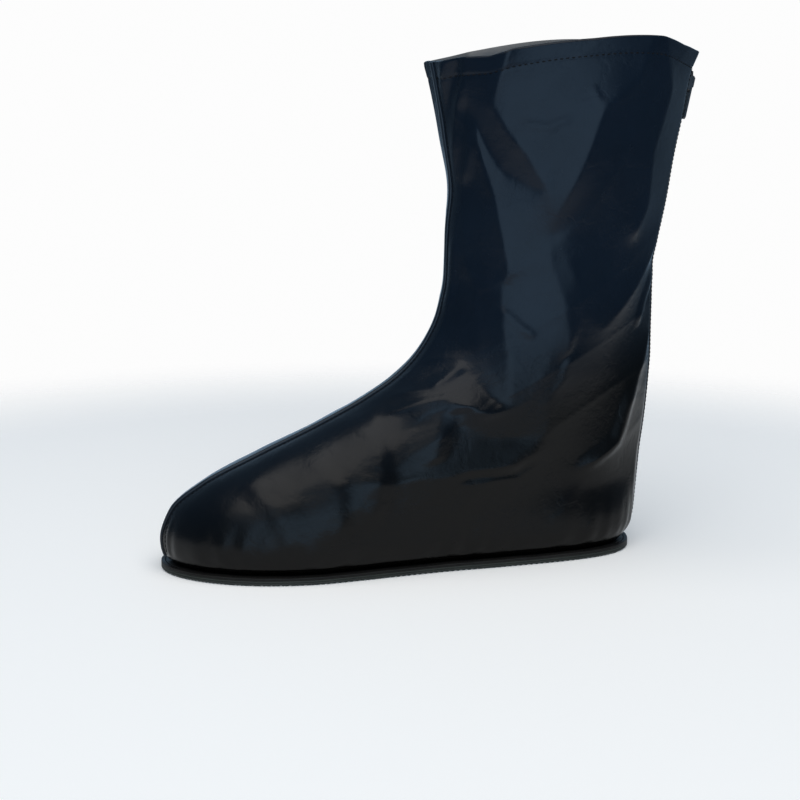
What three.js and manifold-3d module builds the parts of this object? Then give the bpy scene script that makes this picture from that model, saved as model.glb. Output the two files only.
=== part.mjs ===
// Rain boot cover for the left foot: a thin coated upper with a back zip on a flat rubber sole.
// Millimetres. +X runs from toe to heel, -Y is the outer side of the foot, +Z is up.
// The origin lies on the floor, under the middle of the sole's length.
import * as THREE from 'three';
import { mergeVertices } from 'three/addons/utils/BufferGeometryUtils.js';
import Module from 'manifold-3d';

const wasm = await Module();
wasm.setup();

// Driving sizes
const SOLE_LENGTH = 300;
const BALL_WIDTH = 107;
const COLLAR_HEIGHT = 320;
const SOLE_THICKNESS = 3;
const SIDE_RIB_DEPTH = 0.4;
const WELT_WIDTH = 6;
const WELT_THICKNESS = 1.6;
const UPPER_WALL = 1.0;
const HEM_HEIGHT = 10;
const HEM_FOLD = 0.8;
const CLEARANCE = 0.3;

// Front seam and back zip
const SEAM_WIDTH = 3.6;
const SEAM_THICKNESS = 1.2;
const CHAIN_WIDTH = 5;
const CHAIN_THICKNESS = 1.9;
const TAPE_WIDTH = 6.4;
const TAPE_THICKNESS = 0.8;
const ZIP_FOOT_HEIGHT = 12;

// Zip slider and pull tab
const SLIDER_LENGTH = 13;
const SLIDER_TOP_WIDTH = 9.4;
const SLIDER_FOOT_WIDTH = 7.8;
const SLIDER_PLATE = 1.1;
const SLIDER_CORNER = 1.6;
const BAIL_WIDTH = 2;
const BAIL_WIRE = 1.2;
const BAIL_OPENING = 2.2;
const BAIL_LENGTH = 8;
const PULL_WIDTH = 6.6;
const PULL_LENGTH = 22;
const PULL_THICKNESS = 1.3;
const PULL_CORNER = 1.3;
const PULL_BAR_SEAT = 0.75;
const PULL_SLOT_WIDTH = 2.6;
const PULL_SLOT_LENGTH = 6;
const PULL_SLOT_MARGIN = 1.8;

// Mesh steps
const OUTLINE_STEPS = 96;
const UPPER_STEPS = 56;
const STEPS_PER_ROW = 2;
const ANGLE_STEP = 0.01;
const NORMAL_STEP = 0.004;
const END_ROW_GAP = 0.1;
const HALVINGS = 40;
const WELD_DISTANCE = 1e-4;

const WELT_BASE = SOLE_THICKNESS + CLEARANCE;
const SEAT_INSET = WELT_WIDTH + CLEARANCE;
const UPPER_RISE = COLLAR_HEIGHT - WELT_BASE;

// Sole outline: place is a share of the sole's length from the toe, centre (toward the inner side)
// and fullness (half width over the sine of the ring angle) are shares of the ball's width.
const OUTLINE = [
  { place: 0.0, centre: 0.084, fullness: 0.673 },
  { place: 0.09, centre: 0.056, fullness: 0.643 },
  { place: 0.19, centre: 0.031, fullness: 0.598 },
  { place: 0.27, centre: 0.022, fullness: 0.564 },
  { place: 0.36, centre: 0.005, fullness: 0.495 },
  { place: 0.46, centre: -0.017, fullness: 0.43 },
  { place: 0.56, centre: -0.026, fullness: 0.403 },
  { place: 0.67, centre: -0.018, fullness: 0.431 },
  { place: 0.77, centre: -0.011, fullness: 0.48 },
  { place: 0.885, centre: 0.003, fullness: 0.593 },
  { place: 1.0, centre: 0.0, fullness: 0.76 },
];

// Upper sections, from the welt to the collar. front and back are shares of the sole's length from
// its toe, frontUp and backUp shares of the upper's height, half a share of the ball's width,
// sole the share that the sole's outline has in the section, and inset a share of the seat.
const SECTIONS = [
  { name: 'base', front: 0, frontUp: 0, back: 1, backUp: 0, half: 0.43, sole: 1, inset: 1 },
  { name: 'seat', front: 0, frontUp: 0.006, back: 1, backUp: 0.006, half: 0.43, sole: 1, inset: 1 },
  { name: 'feather', front: 0, frontUp: 0.018, back: 1, backUp: 0.018, half: 0.45, sole: 0.97, inset: 0.4 },
  { name: 'wall', front: 0.002, frontUp: 0.058, back: 1.009, backUp: 0.05, half: 0.47, sole: 0.9 },
  { name: 'side', front: 0.022, frontUp: 0.11, back: 1.017, backUp: 0.115, half: 0.46, sole: 0.7 },
  { name: 'toe', front: 0.085, frontUp: 0.158, back: 1.024, backUp: 0.182, half: 0.45, sole: 0.42 },
  { name: 'vamp', front: 0.195, frontUp: 0.208, back: 1.034, backUp: 0.25, half: 0.44, sole: 0.22 },
  { name: 'bridge', front: 0.322, frontUp: 0.262, back: 1.041, backUp: 0.32, half: 0.43, sole: 0.1 },
  { name: 'instep', front: 0.424, frontUp: 0.311, back: 1.045, backUp: 0.388, half: 0.42, sole: 0.03 },
  { name: 'bend', front: 0.494, frontUp: 0.354, back: 1.045, backUp: 0.447, half: 0.41 },
  { name: 'throat', front: 0.543, frontUp: 0.404, back: 1.045, backUp: 0.498, half: 0.405 },
  { name: 'ankle', front: 0.58, frontUp: 0.473, back: 1.045, backUp: 0.558, half: 0.405 },
  { name: 'shin', front: 0.596, frontUp: 0.547, back: 1.054, backUp: 0.608, half: 0.412 },
  { name: 'calf', front: 0.598, frontUp: 0.631, back: 1.072, backUp: 0.69, half: 0.425 },
  { name: 'shaft', front: 0.606, frontUp: 0.715, back: 1.086, backUp: 0.772, half: 0.445 },
  { name: 'flare', front: 0.592, frontUp: 0.817, back: 1.104, backUp: 0.855, half: 0.465 },
  { name: 'cuff', front: 0.577, frontUp: 0.905, back: 1.119, backUp: 0.93, half: 0.48 },
  { name: 'rim', front: 0.566, frontUp: 0.955, back: 1.138, backUp: 0.971, half: 0.49 },
];

// Slack of the collar, in rows from the calf up: crown is the rise of the sides as a share of the
// upper's height, corner the reach of the inner front corner as a share of the ball's width.
const SLACK = [
  { name: 'calf', crown: 0.005, corner: 0 },
  { name: 'shaft', crown: 0.01, corner: 0.02 },
  { name: 'flare', crown: 0.018, corner: 0.055 },
  { name: 'cuff', crown: 0.028, corner: 0.065 },
  { name: 'rim', crown: 0.037, corner: 0.07 },
];
const CORNER_ANGLE = -0.45;
const CORNER_SPREAD = 0.28;
const CROWN_FRONT = 0.6;
const CROWN_LEAN = 0.8;

// Smooth curve through one column of a table, without overshoot between rows
function column(places, values) {
  const last = places.length - 1;
  const slope = (i) => (values[i + 1] - values[i]) / (places[i + 1] - places[i]);
  const tangent = places.map((_, i) => {
    if (i === 0) return slope(0);
    if (i === last) return slope(last - 1);
    const before = slope(i - 1);
    const after = slope(i);
    return before * after <= 0 ? 0 : (2 * before * after) / (before + after);
  });
  return (place) => {
    let i = 0;
    while (i < last - 1 && place > places[i + 1]) i += 1;
    const span = places[i + 1] - places[i];
    const s = THREE.MathUtils.clamp((place - places[i]) / span, 0, 1);
    const keepA = (1 + 2 * s) * (1 - s) ** 2;
    const keepB = s * s * (3 - 2 * s);
    const bendA = s * (1 - s) ** 2 * span;
    const bendB = s * s * (s - 1) * span;
    return keepA * values[i] + keepB * values[i + 1] + bendA * tangent[i] + bendB * tangent[i + 1];
  };
}

const outlinePlaces = OUTLINE.map((row) => row.place);
const outlineCentre = column(outlinePlaces, OUTLINE.map((row) => row.centre));
const outlineFullness = column(outlinePlaces, OUTLINE.map((row) => row.fullness));

const sectionPlaces = SECTIONS.map((_, i) => i);
const rows = SECTIONS.map((row) => ({ ...row, ...SLACK.find((slack) => slack.name === row.name) }));
const section = {};
for (const key of ['front', 'frontUp', 'back', 'backUp', 'half', 'sole', 'inset', 'crown', 'corner']) {
  section[key] = column(sectionPlaces, rows.map((row) => row[key] ?? 0));
}
const LAST_SECTION = SECTIONS.length - 1;

// Point of the sole's outline: angle 0 is the toe, pi the heel, 0 to pi the outer side
function outlinePoint(angle) {
  const share = (1 - Math.cos(angle)) / 2;
  const half = Math.sin(angle) * outlineFullness(share) * BALL_WIDTH;
  return new THREE.Vector2(SOLE_LENGTH * (share - 0.5), outlineCentre(share) * BALL_WIDTH - half);
}

// The same point moved square to the outline, inward by the inset
function insetPoint(angle, inset) {
  const along = outlinePoint(angle + ANGLE_STEP).sub(outlinePoint(angle - ANGLE_STEP)).normalize();
  const point = outlinePoint(angle);
  return new THREE.Vector2(point.x - along.y * inset, point.y + along.x * inset);
}

// Outer surface of the upper at a ring angle and a section place
function upperPoint(angle, place) {
  const share = (1 - Math.cos(angle)) / 2;
  const inset = section.inset(place) * SEAT_INSET;
  const foot = insetPoint(angle, inset);
  const level = SOLE_LENGTH * (share - 0.5);
  const front = SOLE_LENGTH * (section.front(place) - 0.5);
  const back = SOLE_LENGTH * (section.back(place) - 0.5);
  const turned = Math.atan2(Math.sin(angle), Math.cos(angle)) - CORNER_ANGLE;
  const corner = section.corner(place) * BALL_WIDTH * Math.exp(-((turned / CORNER_SPREAD) ** 2));
  const ownShift = THREE.MathUtils.lerp(front, back, share) - level - corner;
  const footShift = foot.x - level;
  const sole = section.sole(place);
  const x = level + ownShift + THREE.MathUtils.lerp(Math.cos(angle) * inset, footShift, sole);
  const ownY = -Math.sin(angle) * section.half(place) * BALL_WIDTH;
  const y = THREE.MathUtils.lerp(ownY, foot.y, sole);
  const upShare = THREE.MathUtils.lerp(section.frontUp(place), section.backUp(place), share);
  const crown = section.crown(place) * Math.sin(angle) ** 2 * (CROWN_FRONT + CROWN_LEAN * share);
  return new THREE.Vector3(x, y, WELT_BASE + (upShare + crown) * UPPER_RISE);
}

// Outward direction of the upper's surface
function upperNormal(angle, place) {
  const low = Math.max(place - NORMAL_STEP, 0);
  const high = Math.min(place + NORMAL_STEP, LAST_SECTION);
  const around = upperPoint(angle + NORMAL_STEP, place).sub(upperPoint(angle - NORMAL_STEP, place));
  const upward = upperPoint(angle, high).sub(upperPoint(angle, low));
  return around.cross(upward).normalize();
}

function upperOffset(angle, place, distance) {
  return upperPoint(angle, place).addScaledVector(upperNormal(angle, place), distance);
}

// Section place where the upper's surface at a ring angle reaches a height
function placeAtHeight(angle, height) {
  let low = 0;
  let high = LAST_SECTION;
  for (let i = 0; i < HALVINGS; i += 1) {
    const middle = (low + high) / 2;
    if (upperPoint(angle, middle).z < height) low = middle;
    else high = middle;
  }
  return (low + high) / 2;
}

// Closed mesh from triangles, turned so that its faces point out
function closedGeometry(points, triangles) {
  let volume = 0;
  for (const [a, b, c] of triangles) {
    volume += points[a].dot(new THREE.Vector3().crossVectors(points[b], points[c]));
  }
  const faces = volume < 0 ? triangles.map(([a, b, c]) => [a, c, b]) : triangles;
  const geometry = new THREE.BufferGeometry();
  const flat = points.flatMap((point) => point.toArray());
  geometry.setAttribute('position', new THREE.Float32BufferAttribute(flat, 3));
  geometry.setIndex(faces.flat());
  geometry.computeVertexNormals();
  return geometry;
}

// Skin over a row of equal rings; the ends are capped across, or the last ring meets the first
function ringLoft(rings, joined) {
  const count = rings[0].length;
  const points = rings.flat();
  const triangles = [];
  const bands = joined ? rings.length : rings.length - 1;
  for (let j = 0; j < bands; j += 1) {
    const here = j * count;
    const next = ((j + 1) % rings.length) * count;
    for (let i = 0; i < count; i += 1) {
      const k = (i + 1) % count;
      triangles.push([here + i, here + k, next + k], [here + i, next + k, next + i]);
    }
  }
  if (!joined) {
    const top = (rings.length - 1) * count;
    for (let i = 0; i < count / 2; i += 1) {
      const left = i;
      const right = (count - i) % count;
      const leftNext = i + 1;
      const rightNext = count - i - 1;
      if (right !== left) {
        triangles.push([left, right, leftNext], [top + left, top + leftNext, top + right]);
      }
      if (rightNext !== leftNext) {
        triangles.push([right, rightNext, leftNext], [top + right, top + leftNext, top + rightNext]);
      }
    }
  }
  return closedGeometry(points, triangles);
}

function outlineRing(inset, height) {
  return Array.from({ length: OUTLINE_STEPS }, (_, i) => {
    const point = insetPoint((2 * Math.PI * i) / OUTLINE_STEPS, inset);
    return new THREE.Vector3(point.x, point.y, height);
  });
}

// Profile of the sole's edge, from the floor up: two ribs with a groove between them. recess is a
// share of the rib's depth, up a share of the sole's thickness.
const SOLE_EDGE = [
  { recess: 1, up: 0 },
  { recess: 0, up: 0.12 },
  { recess: 0, up: 0.4 },
  { recess: 1, up: 0.5 },
  { recess: 0, up: 0.6 },
  { recess: 0, up: 0.88 },
  { recess: 1, up: 1 },
];

// Flat rubber sole
function outsoleGeometry() {
  const ring = (row) => outlineRing(row.recess * SIDE_RIB_DEPTH, row.up * SOLE_THICKNESS);
  return ringLoft(SOLE_EDGE.map(ring), false);
}

// Welt: the turned-out edge of the upper, stitched flat along the margin of the sole
function weltGeometry() {
  const top = WELT_BASE + WELT_THICKNESS;
  const shoulder = WELT_BASE + WELT_THICKNESS / 2;
  return ringLoft([
    outlineRing(SIDE_RIB_DEPTH, WELT_BASE),
    outlineRing(0, shoulder),
    outlineRing(2 * SIDE_RIB_DEPTH, top),
    outlineRing(WELT_WIDTH, top),
    outlineRing(WELT_WIDTH, WELT_BASE),
  ], true);
}

const rowPlaces = [];
for (let i = 0; i <= LAST_SECTION * STEPS_PER_ROW; i += 1) rowPlaces.push(i / STEPS_PER_ROW);

// Upper: one hollow wall from welt to collar, folded double inside along the hem
function upperGeometry() {
  const ring = (placeOf, distance) => Array.from({ length: UPPER_STEPS }, (_, i) => {
    const angle = (2 * Math.PI * i) / UPPER_STEPS;
    return upperOffset(angle, placeOf(angle), distance);
  });
  const rimHeight = (angle) => upperPoint(angle, LAST_SECTION).z;
  const hemPlace = (angle) => placeAtHeight(angle, rimHeight(angle) - HEM_HEIGHT);
  const belowHem = (angle) => placeAtHeight(angle, rimHeight(angle) - HEM_HEIGHT - HEM_FOLD);
  const hemFloor = Math.min(belowHem(0), belowHem(Math.PI), belowHem(Math.PI / 2));
  const outer = rowPlaces.map((place) => ring(() => place, 0));
  const inner = rowPlaces.filter((place) => place < hemFloor - 1 / STEPS_PER_ROW);
  return ringLoft([
    ...outer,
    ring(() => LAST_SECTION, -UPPER_WALL - HEM_FOLD),
    ring(hemPlace, -UPPER_WALL - HEM_FOLD),
    ring(belowHem, -UPPER_WALL),
    ...inner.reverse().map((place) => ring(() => place, -UPPER_WALL)),
  ], true);
}

// Strip that lies on the upper: from one side distance to the other around a ring angle
function stripGeometry({ angle, from, to, lift, thickness, low, high, across }) {
  const between = (place) => place > low + END_ROW_GAP && place < high - END_ROW_GAP;
  const places = [low, ...rowPlaces.filter(between), high];
  const rings = places.map((place) => {
    const ahead = upperPoint(angle + ANGLE_STEP, place);
    const perAngle = ahead.distanceTo(upperPoint(angle - ANGLE_STEP, place)) / (2 * ANGLE_STEP);
    const at = (i) => angle + THREE.MathUtils.lerp(from, to, i / across) / perAngle;
    const under = [];
    const over = [];
    for (let i = 0; i <= across; i += 1) {
      under.push(upperOffset(at(i), place, lift));
      over.unshift(upperOffset(at(i), place, lift + thickness));
    }
    return [...under, ...over];
  });
  return bandLoft(rings);
}

// Skin over open-ended band sections, with each end closed across its thickness
function bandLoft(rings) {
  const count = rings[0].length;
  const points = rings.flat();
  const triangles = [];
  for (let j = 0; j < rings.length - 1; j += 1) {
    for (let i = 0; i < count; i += 1) {
      const k = (i + 1) % count;
      const here = j * count;
      const next = here + count;
      triangles.push([here + i, here + k, next + k], [here + i, next + k, next + i]);
    }
  }
  const top = (rings.length - 1) * count;
  for (let i = 0; i < count / 2 - 1; i += 1) {
    const far = count - 1 - i;
    triangles.push([i, far, far - 1], [i, far - 1, i + 1]);
    triangles.push([top + i, top + far - 1, top + far], [top + i, top + i + 1, top + far - 1]);
  }
  return closedGeometry(points, triangles);
}

const FEATHER = SECTIONS.findIndex((row) => row.name === 'feather');
const backRim = upperPoint(Math.PI, LAST_SECTION).z;
const zipTop = placeAtHeight(Math.PI, backRim - HEM_HEIGHT);
const zipFoot = placeAtHeight(Math.PI, ZIP_FOOT_HEIGHT);

function frontSeamGeometry() {
  return stripGeometry({
    angle: 0,
    from: -SEAM_WIDTH / 2,
    to: SEAM_WIDTH / 2,
    lift: CLEARANCE,
    thickness: SEAM_THICKNESS,
    low: FEATHER,
    high: LAST_SECTION,
    across: 2,
  });
}

function zipChainGeometry() {
  return stripGeometry({
    angle: Math.PI,
    from: -CHAIN_WIDTH / 2,
    to: CHAIN_WIDTH / 2,
    lift: CLEARANCE,
    thickness: CHAIN_THICKNESS,
    low: zipFoot,
    high: zipTop,
    across: 2,
  });
}

// One of the two zip tapes; side is -1 on the outer side of the foot and 1 on the inner side
function zipTapeGeometry(side) {
  const edge = CHAIN_WIDTH / 2 + CLEARANCE;
  return stripGeometry({
    angle: Math.PI,
    from: side * edge,
    to: side * (edge + TAPE_WIDTH),
    lift: CLEARANCE,
    thickness: TAPE_THICKNESS,
    low: zipFoot,
    high: zipTop,
    across: 2,
  });
}

function toManifold(geometry) {
  const bare = geometry.clone();
  bare.deleteAttribute('normal');
  bare.deleteAttribute('uv');
  const merged = mergeVertices(bare, WELD_DISTANCE);
  return new wasm.Manifold(new wasm.Mesh({
    numProp: 3,
    vertProperties: new Float32Array(merged.attributes.position.array),
    triVerts: new Uint32Array(merged.index.array),
  }));
}

function fromManifold(solid) {
  const mesh = solid.getMesh();
  const geometry = new THREE.BufferGeometry();
  geometry.setAttribute('position', new THREE.Float32BufferAttribute(mesh.vertProperties, 3));
  geometry.setIndex(Array.from(mesh.triVerts));
  geometry.computeVertexNormals();
  return geometry;
}

// Zip fittings are drawn with x out of the upper's surface, y across and z up along the zip
const CHAIN_TOP = CLEARANCE + CHAIN_THICKNESS;
const TAPE_TOP = CLEARANCE + TAPE_THICKNESS;
const PLATE_BASE = CHAIN_TOP + CLEARANCE;
const PLATE_TOP = PLATE_BASE + SLIDER_PLATE;

function polygon(points) {
  return new THREE.Shape(points.map(([x, y]) => new THREE.Vector2(x, y)));
}

// Room that the chain and the tapes need under the slider, over the whole length of the zip
function zipRoom(halfWidth, top) {
  return toManifold(stripGeometry({
    angle: Math.PI,
    from: -halfWidth,
    to: halfWidth,
    lift: -UPPER_WALL,
    thickness: UPPER_WALL + top + CLEARANCE,
    low: zipFoot,
    high: LAST_SECTION,
    across: 4,
  }));
}

// Slider: a plate cut to clear chain and tapes, narrower at its foot, with a bail on its back
function zipSliderGeometry(placed) {
  const topHalf = SLIDER_TOP_WIDTH / 2;
  const footHalf = SLIDER_FOOT_WIDTH / 2;
  const halfLength = SLIDER_LENGTH / 2;
  const corner = SLIDER_CORNER;
  const shield = new THREE.ExtrudeGeometry(polygon([
    [-footHalf, -halfLength + corner],
    [-footHalf + corner, -halfLength],
    [footHalf - corner, -halfLength],
    [footHalf, -halfLength + corner],
    [topHalf, halfLength - 2 * corner],
    [topHalf - corner, halfLength],
    [-topHalf + corner, halfLength],
    [-topHalf, halfLength - 2 * corner],
  ]), { depth: PLATE_TOP, bevelEnabled: false });
  shield.applyMatrix4(new THREE.Matrix4().makeBasis(
    new THREE.Vector3(0, 1, 0),
    new THREE.Vector3(0, 0, 1),
    new THREE.Vector3(1, 0, 0),
  ));

  const root = PLATE_TOP - SLIDER_PLATE / 2;
  const inside = PLATE_TOP + BAIL_OPENING;
  const outside = inside + BAIL_WIRE;
  const half = BAIL_LENGTH / 2;
  const chamfer = BAIL_WIRE;
  const bail = new THREE.ExtrudeGeometry(polygon([
    [root, -half],
    [outside - chamfer, -half],
    [outside, -half + chamfer],
    [outside, half - chamfer],
    [outside - chamfer, half],
    [root, half],
    [root, half - BAIL_WIRE],
    [inside, half - BAIL_WIRE],
    [inside, -half + BAIL_WIRE],
    [root, -half + BAIL_WIRE],
  ]), { depth: BAIL_WIDTH, bevelEnabled: false });
  bail.applyMatrix4(new THREE.Matrix4().makeBasis(
    new THREE.Vector3(1, 0, 0),
    new THREE.Vector3(0, 0, 1),
    new THREE.Vector3(0, -1, 0),
  ));
  bail.translate(0, BAIL_WIDTH / 2, 0);
  shield.applyMatrix4(placed);
  bail.applyMatrix4(placed);
  const body = toManifold(shield)
    .subtract(zipRoom(CHAIN_WIDTH / 2 + CLEARANCE, CHAIN_TOP))
    .subtract(zipRoom(CHAIN_WIDTH / 2 + CLEARANCE + TAPE_WIDTH, TAPE_TOP))
    .add(toManifold(bail));
  return fromManifold(body).applyMatrix4(placed.clone().invert());
}

// Pull tab: its top bar lies in the bail, a window lets the bail through, a slot takes a finger loop
function zipPullGeometry() {
  const half = PULL_WIDTH / 2;
  const bar = PULL_THICKNESS / 2;
  const corner = PULL_CORNER;
  const plate = polygon([
    [-half, -PULL_LENGTH + corner],
    [-half + corner, -PULL_LENGTH],
    [half - corner, -PULL_LENGTH],
    [half, -PULL_LENGTH + corner],
    [half, bar],
    [-half, bar],
  ]);
  const windowHalf = BAIL_WIDTH / 2 + CLEARANCE;
  const windowFoot = -bar - 2 * BAIL_WIRE - BAIL_OPENING;
  plate.holes.push(new THREE.Path([
    new THREE.Vector2(-windowHalf, -bar),
    new THREE.Vector2(windowHalf, -bar),
    new THREE.Vector2(windowHalf, windowFoot),
    new THREE.Vector2(-windowHalf, windowFoot),
  ]));
  const slotHalf = PULL_SLOT_WIDTH / 2;
  const slotFoot = -PULL_LENGTH + PULL_SLOT_MARGIN;
  plate.holes.push(new THREE.Path([
    new THREE.Vector2(-slotHalf, slotFoot),
    new THREE.Vector2(-slotHalf, slotFoot + PULL_SLOT_LENGTH),
    new THREE.Vector2(slotHalf, slotFoot + PULL_SLOT_LENGTH),
    new THREE.Vector2(slotHalf, slotFoot),
  ]));
  const geometry = new THREE.ExtrudeGeometry(plate, { depth: PULL_THICKNESS, bevelEnabled: false });
  geometry.translate(0, 0, -PULL_THICKNESS / 2);
  geometry.applyMatrix4(new THREE.Matrix4().makeBasis(
    new THREE.Vector3(0, 1, 0),
    new THREE.Vector3(0, 0, 1),
    new THREE.Vector3(1, 0, 0),
  ));
  return geometry;
}

const materials = {
  rubber: { color: 0x1d2220, roughness: 0.6, metalness: 0 },
  nylon: { color: 0x1c222c, roughness: 0.35, metalness: 0 },
  webbing: { color: 0x15171a, roughness: 0.7, metalness: 0 },
  enamel: { color: 0x101113, roughness: 0.35, metalness: 0.4 },
};

function piece(name, geometry, finish) {
  const mesh = new THREE.Mesh(geometry, new THREE.MeshStandardMaterial(materials[finish]));
  mesh.name = name;
  return mesh;
}

// Zip fittings sit at the top of the chain, turned to the slope of the back
function zipFittings() {
  const sliderPlace = placeAtHeight(Math.PI, backRim - HEM_HEIGHT - CLEARANCE - SLIDER_LENGTH / 2);
  const out = upperNormal(Math.PI, sliderPlace);
  const group = new THREE.Group();
  group.position.copy(upperPoint(Math.PI, sliderPlace));
  group.rotation.y = -Math.atan2(out.z, out.x);
  group.updateMatrix();
  group.add(piece('zip_slider', zipSliderGeometry(group.matrix), 'enamel'));
  const pull = piece('zip_pull', zipPullGeometry(), 'enamel');
  pull.position.x = PLATE_TOP + BAIL_OPENING / 2;
  pull.position.z = -BAIL_LENGTH / 2 + BAIL_WIRE + CLEARANCE + PULL_THICKNESS * PULL_BAR_SEAT;
  group.add(pull);
  return group;
}

const cover = new THREE.Group();
cover.add(
  piece('outsole', outsoleGeometry(), 'rubber'),
  piece('welt', weltGeometry(), 'nylon'),
  piece('upper', upperGeometry(), 'nylon'),
  piece('front_seam', frontSeamGeometry(), 'nylon'),
  piece('zip_chain', zipChainGeometry(), 'webbing'),
  piece('zip_tape_outer', zipTapeGeometry(-1), 'webbing'),
  piece('zip_tape_inner', zipTapeGeometry(1), 'webbing'),
  zipFittings(),
);

export default cover;
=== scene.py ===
import math

import bpy
import numpy as np
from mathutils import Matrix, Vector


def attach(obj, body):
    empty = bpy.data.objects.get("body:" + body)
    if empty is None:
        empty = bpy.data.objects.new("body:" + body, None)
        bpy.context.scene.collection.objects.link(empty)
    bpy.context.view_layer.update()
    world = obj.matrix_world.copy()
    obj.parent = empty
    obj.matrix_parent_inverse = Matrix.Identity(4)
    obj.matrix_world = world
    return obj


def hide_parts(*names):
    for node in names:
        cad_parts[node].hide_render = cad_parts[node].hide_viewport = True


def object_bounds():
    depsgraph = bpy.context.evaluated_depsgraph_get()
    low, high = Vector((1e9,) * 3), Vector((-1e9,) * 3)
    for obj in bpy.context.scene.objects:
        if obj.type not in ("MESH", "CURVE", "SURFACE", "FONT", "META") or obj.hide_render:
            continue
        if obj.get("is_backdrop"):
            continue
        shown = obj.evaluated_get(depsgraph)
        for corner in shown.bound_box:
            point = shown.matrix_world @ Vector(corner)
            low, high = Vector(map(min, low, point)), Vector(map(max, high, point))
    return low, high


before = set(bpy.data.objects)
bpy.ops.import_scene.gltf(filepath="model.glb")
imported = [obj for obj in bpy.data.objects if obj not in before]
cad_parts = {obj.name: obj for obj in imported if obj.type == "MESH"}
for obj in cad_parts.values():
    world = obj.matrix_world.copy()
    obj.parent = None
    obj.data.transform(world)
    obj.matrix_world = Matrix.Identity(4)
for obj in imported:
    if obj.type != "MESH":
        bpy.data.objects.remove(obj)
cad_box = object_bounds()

# Outsole: flat sheet of black rubber, cut to the foot's outline, with a fine raised square grid
# underneath and two ribs along its side. One row of stitches in a groove near its edge joins it
# to the welt.
MM = 0.001
SOLE_LENGTH = 300 * MM
BALL_WIDTH = 107 * MM
SOLE_THICKNESS = 3.15 * MM
SIDE_RIB_DEPTH = 0.35 * MM
TREAD_PITCH = 2.5 * MM
TREAD_HEIGHT = 0.6 * MM
TREAD_TURN = math.radians(48)
CROSS_RIB_DROP = 0.12 * MM
RIB_CREST = 0.45 * MM
RIB_FOOT = 1.0 * MM
RIB_SINK = 0.15 * MM
GROOVE_INSET = 5.2 * MM
GROOVE_HALF = 0.75 * MM
GROOVE_DEPTH = 0.5 * MM
TREAD_MARGIN = 0.45 * MM
THREAD = 0.3 * MM
THREAD_SIDES = 6
THREAD_STATIONS = 5
THREAD_END = 0.55
THREAD_SUNK = 0.3
SOLE_STITCH = 3.4 * MM
SOLE_STITCH_SHARE = 0.78
OUTLINE_STEPS = 288
TREAD_OUTLINE_STEPS = 720
STITCH_LINE_STEPS = 1441
ANGLE_STEP = 0.01
RUBBER_LIGHT = (0.023, 0.027, 0.022, 1)
RUBBER_DARK = (0.010, 0.013, 0.011, 1)
THREAD_DARK = (0.003, 0.003, 0.004, 1)
THREAD_LIGHT = (0.009, 0.009, 0.010, 1)

# painted shade and painted highlight on the rubber by height above the floor: low down, over the tread
# and the valleys between its ribs, a near-black painted shade; on the rib crests a lighter colour that
# is partly wear and partly painted highlight. Each colour is full up to the first height and gone at
# the second
RUBBER_SHADE_AND_CREST_LIGHT = (
    ((0.004, 0.007, 0.006, 1), 0.8 * MM, 1.2 * MM),
    ((0.095, 0.125, 0.110, 1), 0.05 * MM, 0.35 * MM),
)

# side of the sheet from its lower to its upper edge: inset in rib depths, share of its height
SIDE_RIBS = ((1, 0.0), (0, 0.12), (0, 0.36), (1, 0.5), (0, 0.64), (0, 0.88), (1, 1.0))

# place (share of the length from the toe), centre and fullness (shares of the ball's width)
OUTLINE = (
    (0, 0.084, 0.673),
    (0.09, 0.056, 0.643),
    (0.19, 0.031, 0.598),
    (0.27, 0.022, 0.564),
    (0.36, 0.005, 0.495),
    (0.46, -0.017, 0.43),
    (0.56, -0.026, 0.403),
    (0.67, -0.018, 0.431),
    (0.77, -0.011, 0.48),
    (0.885, 0.003, 0.593),
    (1, 0, 0.76),
)


def smooth_curve(places, values):
    """Curve through one column of a table, without overshoot between its rows."""
    places = np.asarray(places, float)
    values = np.asarray(values, float)
    slope = np.diff(values) / np.diff(places)
    before, after = slope[:-1], slope[1:]
    same_way = before * after > 0
    middle = np.where(same_way, 2 * before * after / np.where(same_way, before + after, 1), 0)
    tangent = np.concatenate([slope[:1], middle, slope[-1:]])

    def curve(place):
        place = np.asarray(place, float)
        row = np.clip(np.searchsorted(places, place) - 1, 0, len(places) - 2)
        span = places[row + 1] - places[row]
        s = np.clip((place - places[row]) / span, 0, 1)
        kept = (1 + 2 * s) * (1 - s) ** 2 * values[row] + s * s * (3 - 2 * s) * values[row + 1]
        bent = s * (1 - s) ** 2 * tangent[row] + s * s * (s - 1) * tangent[row + 1]
        return kept + bent * span

    return curve


outline_centre = smooth_curve([row[0] for row in OUTLINE], [row[1] for row in OUTLINE])
outline_fullness = smooth_curve([row[0] for row in OUTLINE], [row[2] for row in OUTLINE])


def sole_outline(angle, inset=0.0):
    """Points of the sole's outline: angle 0 is the toe, pi the heel, 0 to pi the outer side."""
    def edge(at):
        share = (1 - np.cos(at)) / 2
        half = np.sin(at) * outline_fullness(share) * BALL_WIDTH
        return SOLE_LENGTH * (share - 0.5), outline_centre(share) * BALL_WIDTH - half

    x, y = edge(angle)
    ahead, behind = edge(angle + ANGLE_STEP), edge(angle - ANGLE_STEP)
    dx, dy = ahead[0] - behind[0], ahead[1] - behind[1]
    length = np.hypot(dx, dy)
    return np.stack([x - dy / length * inset, y + dx / length * inset], -1)


def full_turn(count):
    """Equal steps of angle once round."""
    return np.arange(count) * 2 * math.pi / count


def outline_ring(inset, height):
    """Points round the sole's outline, at an inset and a height."""
    flat = sole_outline(full_turn(OUTLINE_STEPS), inset)
    return np.column_stack([flat, np.full(OUTLINE_STEPS, height)])


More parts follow.
